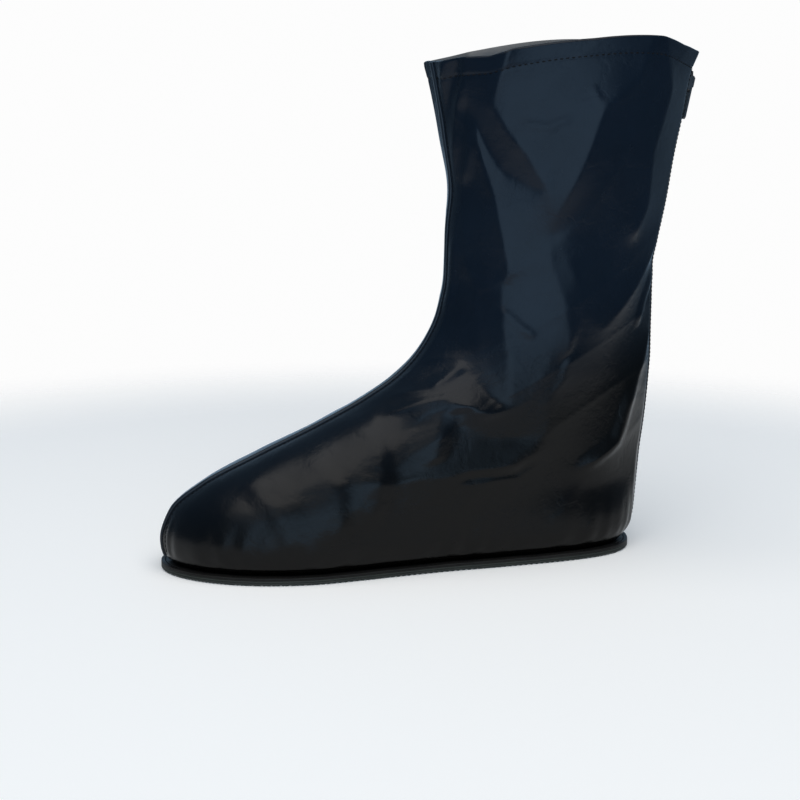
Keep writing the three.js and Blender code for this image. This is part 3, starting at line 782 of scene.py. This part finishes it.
def fold_height(points, fold):
    """Rise of the cloth at points of one side, from the tent-shaped slope beside a fold's line."""
    rise, toe_reach, heel_reach, line = fold
    line = np.array(line) / 1000 * (SOLE_LENGTH, COLLAR_HEIGHT)
    spot = np.stack([points[..., 0] + SOLE_LENGTH / 2, points[..., 2]], -1)
    steps = np.diff(line, axis=0)
    lengths = np.linalg.norm(steps, axis=1)
    run = np.concatenate([[0], np.cumsum(lengths)])
    nearest = np.full(spot.shape[:-1], np.inf)
    side = np.zeros_like(nearest)
    along = np.zeros_like(nearest)
    for start, step, length, before in zip(line, steps, lengths, run):
        gap = spot - start
        share = np.clip((gap @ step) / length ** 2, 0, 1)
        off = gap - share[..., None] * step
        distance = np.hypot(off[..., 0], off[..., 1])
        closer = distance < nearest
        nearest = np.where(closer, distance, nearest)
        turn = step[0] * gap[..., 1] - step[1] * gap[..., 0]
        side = np.where(closer, np.sign(turn), side)
        along = np.where(closer, (before + share * length) / run[-1], along)
    reach = np.where(side > 0, heel_reach, toe_reach) * MM
    slope = np.clip(1 - (np.hypot(nearest, FOLD_CREST) - FOLD_CREST) / reach, 0, 1)
    foot = slope * slope / (slope + FOLD_FOOT) * (1 + FOLD_FOOT)
    ends = ease(along, 0, FOLD_END) * ease(1 - along, 0, FOLD_END)
    return FOLD_DEPTH * rise * MM * foot * ends


# Slack of the collar's edge: share of the sole's length, drop of the edge in millimetres
INNER_RIM_DROP = 2.0 * MM
RIM_SLACK = ((0.50, 0.0), (0.56, 0.0), (0.60, -0.6), (0.645, 1.4), (0.686, -0.6), (0.85, 0.6),
             (1.003, -0.8), (1.07, 1.2), (1.14, 0.6))


def slack_height(points):
    """Small uneven ripples that a thin coated cloth keeps from being packed flat: wide swells, a
    close shiver and a few soft ridges, with their wave lengths and heights in millimetres."""
    x, y, z = (points[..., axis] / MM for axis in range(3))
    wide = np.sin(x / 19 + 1.3 * np.sin(z / 31 + 0.6)) * np.sin(z / 27 + 1.7 * np.sin(x / 37) + y / 60)
    close = np.sin(x / 7.3 + 2.1 * np.sin(z / 13.7)) * np.sin(z / 9.1 + 1.9 * np.sin(x / 11.9 + 2))
    ridged = 1 - np.abs(np.sin(x / 23 - z / 17 + 1.5 * np.sin(z / 41)))
    return (0.5 * wide + 0.03 * close + 0.3 * ridged ** 3) * MM


# The cloth is gathered a little where it meets the welt
GATHERS = 46
GATHER_RISE = 0.5 * MM


def folded_surface(angle, place):
    """Outer surface of the upper with its folds, its gathers at the welt and its slack rim."""
    angle, place = np.broadcast_arrays(np.asarray(angle, float), np.asarray(place, float))
    plain = upper_surface(angle, place)
    points = plain.copy()
    points[..., 1] += shift_at(angle, place)
    outer = np.sin(angle) > 0
    lift = np.zeros(angle.shape)
    for folds, here in ((OUTER_FOLDS, outer), (INNER_FOLDS, ~outer)):
        for fold in folds:
            lift[here] += fold_height(plain[here], fold)
    lift += slack_height(plain)
    off_middle = np.abs(np.sin(angle))
    lift *= np.where(np.cos(angle) > 0, ease(off_middle, -0.05, 0.3), ease(off_middle, 0.12, 0.42))
    lift *= ease(place, 1.6, 3.4)
    gather = np.sin(GATHERS * angle + 2 * np.sin(7 * angle)) * (0.6 + 0.4 * np.sin(11 * angle + 1))
    lift += GATHER_RISE * gather * ease(place, 2.0, 2.5) * ease(4.2 - place, 0, 1.5)
    along = plain[..., 0] / SOLE_LENGTH + 0.5
    drop = np.interp(along, [row[0] for row in RIM_SLACK], [row[1] for row in RIM_SLACK]) * MM
    points = points + outward_of(upper_surface, angle, place) * lift[..., None]
    drop = np.where(outer, drop, INNER_RIM_DROP)
    points[..., 2] -= drop * ease(place, RIM - 2.2, RIM) * ease(off_middle, 0.1, 0.4)
    return points


HALVINGS = 40


def place_at_height(angle, height, low):
    """Section place above a low one where the upper reaches a height, for each ring angle."""
    low, high = np.full(np.shape(angle), float(low)), np.full(np.shape(angle), float(RIM))
    for _ in range(HALVINGS):
        middle = (low + high) / 2
        under = upper_surface(angle, middle)[..., 2] < height
        low, high = np.where(under, middle, low), np.where(under, high, middle)
    return (low + high) / 2


def place_below_rim(angle, depth):
    """Section place that lies a depth below the rim, for each ring angle."""
    return place_at_height(angle, upper_surface(angle, RIM)[..., 2] - depth, RIM - 3)


# The hem: how far its stitches pinch the cloth in and over what height, how far it puffs out above
# them, and how its turned-in edge is rounded and ends
HEM_PINCH = 0.28 * MM
HEM_PINCH_HEIGHT = 0.9 * MM
HEM_PUFF = 0.12 * MM
RIM_ROUND = 0.4 * MM
HEM_END = 1.2 * MM
LINING_START = 4 * MM
LINING_DARK = (0.085, 0.088, 0.092, 1)
LINING_LIGHT = (0.12, 0.123, 0.128, 1)
HEM_STITCH = 3.6 * MM
HEM_STITCH_SHARE = 0.66
HEM_THREAD = 0.85 * MM
HEM_THREAD_RISE = 0.25 * MM
HEM_THREAD_SUNK = 0.2 * MM
HEM_FROM_SEAM = 0.16
HEM_FROM_ZIP = 0.22
HEM_STEPS = 700


def upper_bag():
    """Closed wall: outer skin from the welt up, over the rim, and the lining back down."""
    angle = full_turn(ROUND_STEPS)
    hem_place = place_below_rim(angle, HEM_HEIGHT)
    rings = []
    rim_height = upper_surface(angle, RIM)[:, 2]
    foot_places = np.linspace(0, PANEL_FOOT, FOOT_ROWS, endpoint=False)
    for place in np.concatenate([foot_places, np.linspace(PANEL_FOOT, RIM, OUTER_ROWS)]):
        at = np.full(ROUND_STEPS, place)
        below = rim_height - upper_surface(angle, at)[:, 2]
        pinch = np.exp(-((below - HEM_HEIGHT) / HEM_PINCH_HEIGHT) ** 2)
        puff = ease(HEM_HEIGHT - below, 0, 1.5 * MM) * ease(below, 0, 2.0 * MM)
        out = outward_of(upper_surface, angle, at) * (HEM_PUFF * puff - HEM_PINCH * pinch)[:, None]
        rings.append(folded_surface(angle, at) + out)
    outer_count = len(rings)

    def inside(place, depth):
        at = np.broadcast_to(place, angle.shape)
        return folded_surface(angle, at) - outward_of(upper_surface, angle, at) * depth

    doubled = UPPER_WALL + HEM_FOLD
    rings.append(inside(RIM, doubled / 2) + (0, 0, RIM_ROUND))
    for place in (RIM, (hem_place + RIM) / 2, hem_place):
        rings.append(inside(place, doubled))
    rings.append(inside(place_below_rim(angle, HEM_HEIGHT + HEM_END), UPPER_WALL))
    lining_start = np.min(place_below_rim(angle, HEM_HEIGHT + LINING_START))
    for place in np.linspace(lining_start, 0, INNER_ROWS):
        rings.append(inside(place, UPPER_WALL))
    faces = loft_faces(len(rings), ROUND_STEPS, joined=True)
    row = np.arange(len(faces)) // ROUND_STEPS
    return np.concatenate(rings), faces, (row >= outer_count).astype(int)


nylon = coated_cloth("coated_nylon", CLOTH_DARK, CLOTH_LIGHT, 0.24, 0.165, 0.03, foot=CLOTH_FOOT_SHADE)
lining = coated_cloth("inner_coating", LINING_DARK, LINING_LIGHT, 0.5, 0.4, 0.0)
points, faces, sides = upper_bag()
upper = sewn_piece("upper_cloth", points, faces, [nylon, lining], "upper_fabric",
                   finish_of=sides, crease=180)
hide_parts("upper")

# The hem's stitches run along each side, and stop short of the seam and the zip
hem_parts = []
turned = np.linspace(HEM_FROM_SEAM, 2 * math.pi - HEM_FROM_SEAM, HEM_STEPS)
turned = turned[np.abs(turned - math.pi) > HEM_FROM_ZIP]
for half in np.split(turned, [len(turned) // 2]):
    line = place_below_rim(half, HEM_HEIGHT)
    out = outward_of(upper_surface, half, line)
    hem_parts += even_stitches(folded_surface(half, line) - HEM_THREAD_SUNK * out, out,
                               HEM_STITCH, HEM_STITCH_SHARE, HEM_THREAD, HEM_THREAD_RISE)
sewn_piece("hem_stitches", *joined_parts(hem_parts), [thread], "upper_fabric")

# Front seam: both side panels are turned and sewn together along the toe and the shin. The seam
# stands up as a narrow pressed ridge, with one row of stitches beside it.
SEAM_WIDTH = 3.6 * MM
SEAM_RISE = 1.4 * MM
SEAM_ROWS = 260
SEAM_STEPS = 600
SEAM_STITCH = 3.0 * MM
SEAM_STITCH_SHARE = 0.7
SEAM_STITCH_ANGLE = 0.075
SEAM_THREAD = 0.45 * MM
SEAM_THREAD_RISE = 0.2 * MM
SEAM_THREAD_LIFT = 0.05 * MM
seam_cloth = coated_cloth("seam_nylon", CLOTH_DARK, CLOTH_LIGHT, 0.36, 0.3, 0.1)


def width_per_angle(middle_angle, places):
    """Width on the upper for each radian of ring angle, at each section place."""
    right = upper_surface(np.full(len(places), middle_angle + ANGLE_STEP), places)
    left = upper_surface(np.full(len(places), middle_angle - ANGLE_STEP), places)
    return np.linalg.norm(right - left, axis=1) / (2 * ANGLE_STEP)


def strip_on_upper(middle_angle, profile, low, high, rows):
    """A closed strip along the upper; profile gives (offset across, lift) pairs in metres."""
    places = np.linspace(low, high, rows)
    span = width_per_angle(middle_angle, places)
    rings = []
    for across, lift in profile:
        at = middle_angle + across / span
        rings.append(folded_surface(at, places) + outward_of(upper_surface, at, places) * lift)
    return np.stack(rings, 1).reshape(-1, 3), tube_faces(rows, len(profile))


def line_on_upper(at, places, lift):
    """Points and outward directions on the folded upper along a line of ring angles."""
    out = outward_of(folded_surface, at, places)
    return folded_surface(at, places) + out * lift, out


def ridge_profile(half, rise):
    """Cross-section of the seam from its underside round to its crowned top."""
    top, crown = 0.75 * rise, 0.25 * rise
    over = [(half * math.cos(t), top * (0.5 + 0.5 * math.sin(t)) ** 0.5 + crown * math.sin(t))
            for t in np.linspace(0, math.pi, 7)]
    return [(-half, 0.0), (half, 0.0)] + over


ridge = ridge_profile(SEAM_WIDTH / 2, SEAM_RISE)
points, faces = strip_on_upper(0.0, ridge, PANEL_FOOT, RIM, SEAM_ROWS)
front_seam = sewn_piece("front_seam_ridge", points, faces, [seam_cloth], "seam_fabric", crease=60)
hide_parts("front_seam")

seam_places = np.linspace(PANEL_FOOT + 0.3, RIM - 0.1, SEAM_STEPS)
seam_parts = []
for side in (-1, 1):
    beside = np.full(SEAM_STEPS, side * SEAM_STITCH_ANGLE)
    line, out = line_on_upper(beside, seam_places, SEAM_THREAD_LIFT)
    seam_parts += even_stitches(
        line, out, SEAM_STITCH, SEAM_STITCH_SHARE, SEAM_THREAD, SEAM_THREAD_RISE)
sewn_piece("front_seam_stitches", *joined_parts(seam_parts), [thread], "seam_fabric")

# Back zip: two woven tapes are sewn over the slit at the back of the shaft and heel, and carry
# a moulded coil of small teeth that mesh along the middle.
CHAIN_EDGE = 2.5 * MM
CHAIN_STEPS = 900
TAPE_WIDTH = 6.4 * MM
TAPE_EDGE = CHAIN_EDGE + CLEARANCE + TAPE_WIDTH
TAPE_LIFT = 0.3 * MM
TAPE_TOP = 1.1 * MM
TAPE_STITCH_MIDDLE = 9.3 * MM
TAPE_STITCH = 2.6 * MM
TAPE_THREAD = 0.42 * MM
TAPE_THREAD_RISE = 0.2 * MM
TAPE_THREAD_SUNK = 0.35 * MM
TOOTH_PITCH = 1.5 * MM
TOOTH_START = 0.4 * MM
TOOTH_LENGTH = 3.0 * MM
TOOTH_WIDTH = 0.95 * MM
TOOTH_TOP = 2.0 * MM
TOOTH_SIDES = 8
ZIP_FOOT = 12 * MM
ZIP_ROWS = 200
TAPE_DARK = (0.007, 0.008, 0.010, 1)
TAPE_LIGHT = (0.018, 0.019, 0.022, 1)
COIL_DARK = (0.009, 0.010, 0.011, 1)
COIL_LIGHT = (0.024, 0.025, 0.027, 1)

# top of a tape's outer edge, with its stitched groove: inset from the edge and drop, in mm
TAPE_HEM = ((0.0, 0.5), (0.4, 0.3), (1.2, 0.45), (2.0, 0.3))

# a tooth from the tape to the middle: share of its length, thickness there
TOOTH = ((0.0, 0.35), (0.12, 0.85), (0.5, 0.9), (0.78, 1.25), (1.0, 0.55))

tape_weave = Finish("woven_tape", 0.72, 0.3, Sheen_Weight=0.1)
rib = tape_weave.pattern("Wave", Scale=420.0, Distortion=0.4, bands_direction="Z")
fleck = tape_weave.pattern("Noise", Scale=700.0, Detail=4.0)
zip_cloth = tape_weave.wear(
    Base_Color=tape_weave.colour_between(fleck, TAPE_DARK, TAPE_LIGHT),
    Normal=tape_weave.relief(rib, 0.5, 0.12 * MM),
)
moulding = Finish("moulded_coil", 0.38)
rubbed = moulding.pattern("Noise", Scale=300.0, Detail=3.0)
coil = moulding.wear(Base_Color=moulding.colour_between(rubbed, COIL_DARK, COIL_LIGHT))

heel_middle = np.array([math.pi])
zip_low = place_at_height(heel_middle, ZIP_FOOT, 0)[0]
zip_high = place_below_rim(heel_middle, HEM_HEIGHT)[0]
for side, way in ((-1, "outer"), (1, "inner")):
    inner, outer = side * 0.6 * MM, side * TAPE_EDGE
    profile = [(inner, TAPE_LIFT), (outer, 0.0)]
    profile += [(outer - side * inset * MM, TAPE_TOP - drop * MM) for inset, drop in TAPE_HEM]
    profile += [(inner, TAPE_TOP - 0.2 * MM)]
    points, faces = strip_on_upper(math.pi, profile, zip_low, zip_high, ZIP_ROWS)
    if side < 0:
        faces = [face[::-1] for face in faces]
    tape = sewn_piece(f"zip_tape_{way}_cloth", points, faces, [zip_cloth], "zip_tape", crease=50)
    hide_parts(f"zip_tape_{way}")

tooth_places = np.linspace(zip_low, zip_high, CHAIN_STEPS)
chain_line, chain_out = line_on_upper(np.full(CHAIN_STEPS, math.pi), tooth_places, 0.0)
run = length_along(chain_line)
tooth_parts = []
tooth_faces = tube_faces(len(TOOTH), TOOTH_SIDES)
for side in (-1, 1):
    for number in range(int(run[-1] / TOOTH_PITCH)):
        distance = (number + 0.25 + 0.25 * side) * TOOTH_PITCH + TOOTH_START
        centre = spot_along(distance, run, chain_line)
        ahead = spot_along(distance + 1 * MM, run, chain_line)
        out = spot_along(distance, run, chain_out)
        along = (ahead - centre) / np.linalg.norm(ahead - centre)
        across = np.cross(along, out) * side
        wide = along * TOOTH_WIDTH / 2
        tall = out * (TOOTH_TOP - TAPE_TOP * 0.4) / 2
        centre = centre + out * (TAPE_TOP * 0.45 + TOOTH_TOP / 2)
        tooth = []
        for share, swell in TOOTH:
            middle = centre + across * (CHAIN_EDGE - share * TOOTH_LENGTH)
            tooth.extend(middle + swell * (np.cos(t) * wide + np.sin(t) * tall)
                         for t in full_turn(TOOTH_SIDES))
        tooth_parts.append((np.array(tooth), tooth_faces))
chain = sewn_piece("zip_teeth", *joined_parts(tooth_parts), [coil], "zip_coil", crease=50)
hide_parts("zip_chain")

tape_parts = []
tape_turn = TAPE_STITCH_MIDDLE / width_per_angle(math.pi, tooth_places)
for side in (-1, 1):
    line, out = line_on_upper(
        math.pi + side * tape_turn, tooth_places, TAPE_TOP - TAPE_THREAD_SUNK)
    tape_parts += even_stitches(
        line, out, TAPE_STITCH, SEAM_STITCH_SHARE, TAPE_THREAD, TAPE_THREAD_RISE)
sewn_piece("zip_stitches", *joined_parts(tape_parts), [thread], "zip_tape")

# Slider and pull tab: cast zinc with a black enamel coat. The slider stays at the top of the
# zip, and the tab hangs from the bar in its bail.
ENAMEL_DARK = (0.014, 0.015, 0.017, 1)
ENAMEL_LIGHT = (0.030, 0.031, 0.034, 1)
ROUNDING = 0.22 * MM

casting = Finish("black_enamel", 0.3, Metallic=0.35, Coat_Weight=0.3, Coat_Roughness=0.12)
cast = casting.pattern("Noise", Scale=420.0, Detail=4.0)
enamel = casting.wear(
    Base_Color=casting.colour_between(cast, ENAMEL_DARK, ENAMEL_LIGHT),
    Normal=casting.relief(cast, 0.2, 0.05 * MM),
)
for name in ("zip_slider", "zip_pull"):
    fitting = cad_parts[name]
    fitting.data.materials.clear()
    fitting.data.materials.append(enamel)
    rounding = fitting.modifiers.new("rounded_edges", "BEVEL")
    rounding.width = ROUNDING
    rounding.segments = 2
    rounding.limit_method = "ANGLE"

# Floor, lights and camera: a plain pale floor under large soft lamps, and the camera at the
# photograph's height, distance and angle to the cover.
FLOOR_RADIUS = 0.75
FLOOR_SIDES = 96
FLOOR_FADE = 0.45
FLOOR_DROP = 0.1 * MM
CAMERA_PLACE = (-0.3119, -1.0853, 0.3157)
CAMERA_TURN = math.radians(16)
CAMERA_PITCH = math.radians(10.85)
CAMERA_LENS = 83.34

pale = Finish("pale_floor", 0.9, 0.0, Base_Color=(0.94, 0.94, 0.94, 1),
              Emission_Color=(1, 1, 1, 1), Emission_Strength=0.12)
reach = pale.node("VectorMath", [(0, pale.place)], operation="LENGTH")
faded = pale.node("MixShader", [
    ("Fac", pale.graded(reach.outputs["Value"], FLOOR_FADE, FLOOR_RADIUS)),
    (1, pale.shader.outputs["BSDF"]), (2, pale.node("BsdfTransparent").outputs["BSDF"])])
pale.tree.links.new(faded.outputs["Shader"], pale.tree.nodes["Material Output"].inputs["Surface"])
floor_mesh = bpy.data.meshes.new("floor")
floor_edge = [(FLOOR_RADIUS * math.cos(t), FLOOR_RADIUS * math.sin(t), -FLOOR_DROP)
              for t in full_turn(FLOOR_SIDES)]
floor_mesh.from_pydata(floor_edge, [], [list(range(FLOOR_SIDES))])
floor_mesh.materials.append(pale.material)
floor = placed("floor", floor_mesh)
floor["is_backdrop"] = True

# name, place in metres, size in metres, power in watts, colour
LAMPS = (
    ("ceiling_lamp", (-0.15, -0.7, 2.2), 2.6, 46, (1.0, 0.95, 0.88)),
    ("front_lamp", (-1.5, -2.2, 1.6), 1.4, 5, (0.9, 0.95, 1.0)),
)
LAMP_TARGET = (0.05, 0.0, 0.15)
for name, spot, size, power, colour in LAMPS:
    lamp = bpy.data.lights.new(name, "AREA")
    lamp.shape = "SQUARE"
    lamp.size = size
    lamp.energy = power
    lamp.color = colour
    holder = placed(name, lamp)
    holder.location = spot
    aim = np.array(LAMP_TARGET) - spot
    tilt = math.acos(-aim[2] / np.linalg.norm(aim))
    holder.rotation_euler = (tilt, 0, math.atan2(aim[1], aim[0]) - math.pi / 2)
    holder.visible_camera = False

# The room is dark apart from a wide window behind the camera and a dimmer one behind the cover;
# the camera itself sees a plain white wall. Each window is a way to its middle and a brightness.
WINDOWS = (((-0.139, -0.989, -0.05), 2.15), ((0.22, 0.975, 0.0), 0.75))
WINDOW_EDGE = math.cos(math.radians(36))
WINDOW_FULL = math.cos(math.radians(15))
WINDOW_COLOUR = (0.50, 0.74, 1.0, 1)
ROOM_DARK = 0.12
world = bpy.data.worlds.new("studio")
world.use_nodes = True
studio = Wiring(world.node_tree)
wall = studio.tree.nodes["Background"]
wall.inputs["Color"].default_value = (0.98, 0.98, 0.98, 1)
way = studio.node("TexCoord").outputs["Generated"]
windows = [
    (number, studio.graded(studio.along(way, middle), WINDOW_EDGE, WINDOW_FULL, ROOM_DARK, light))
    for number, (middle, light) in enumerate(WINDOWS)
]
both = studio.node("Math", windows, operation="ADD").outputs["Value"]
room = studio.node("Background", [("Strength", both)], Color=WINDOW_COLOUR)
seen = studio.node("LightPath").outputs["Is Camera Ray"]
either = studio.node("MixShader", [
    ("Fac", seen), (1, room.outputs["Background"]), (2, wall.outputs["Background"])])
studio.tree.links.new(either.outputs["Shader"], studio.tree.nodes["World Output"].inputs["Surface"])
bpy.context.scene.world = world
bpy.context.scene.view_settings.view_transform = "Standard"

camera_data = bpy.data.cameras.new("photo_camera")
camera_data.lens = CAMERA_LENS
camera_data.sensor_width = 36
camera = placed("photo_camera", camera_data)
camera.location = CAMERA_PLACE
camera.rotation_euler = (math.pi / 2 - CAMERA_PITCH, 0, -CAMERA_TURN)
bpy.context.scene.camera = camera

boxes = {"cad": cad_box, "visual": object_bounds()}
{name: [list(low), list(high)] for name, (low, high) in boxes.items()}
